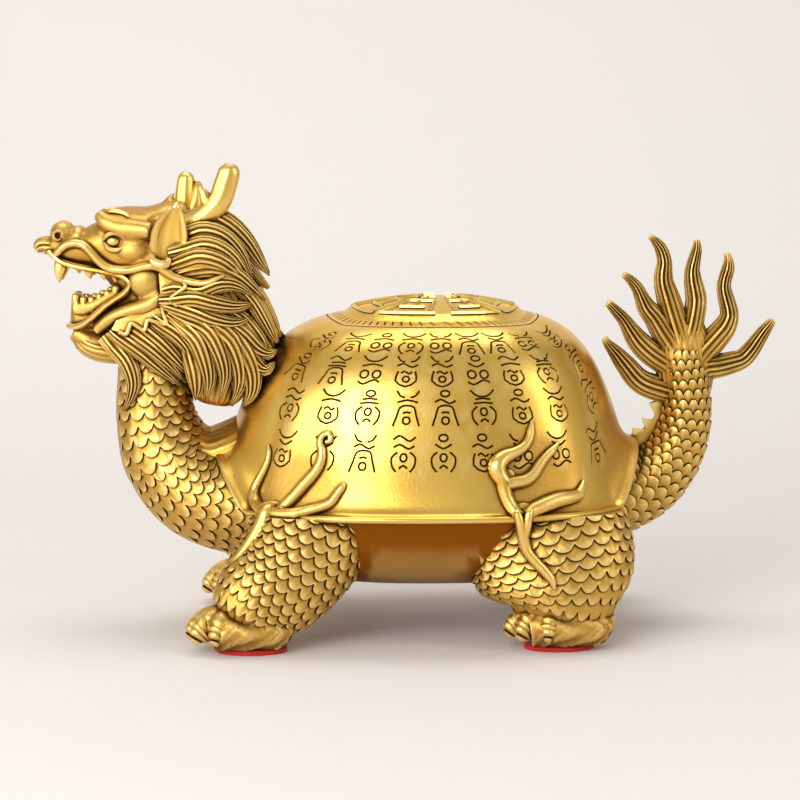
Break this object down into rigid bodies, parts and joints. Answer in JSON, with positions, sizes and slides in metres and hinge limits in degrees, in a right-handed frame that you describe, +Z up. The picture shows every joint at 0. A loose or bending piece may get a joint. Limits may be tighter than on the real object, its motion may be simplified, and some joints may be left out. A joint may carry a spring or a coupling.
{
  "type": "dragon turtle figure",
  "caption": "Cast brass dragon turtle: domed shell, scaled neck and legs, maned dragon head, upright plumed tail, on felt foot pads.",
  "frame": {"origin": "on the ground, under the middle of the figure's length and width", "axes": "+Z up, the head faces -X, the tail is towards +X, the figure's left side faces -Y"},
  "size_m": [0.25, 0.1064, 0.1569],
  "materials": {
    "cast_brass": "cast brass, bright and polished on the shell, brown antiquing in every recess",
    "red_felt": "thin matt red felt"
  },
  "bodies": {
    "root": {"dragon_turtle_casting": "cast_brass", "felt_pad_front_left": "red_felt", "felt_pad_front_right": "red_felt", "felt_pad_hind_left": "red_felt", "felt_pad_hind_right": "red_felt"}
  },
  "joints": []
}
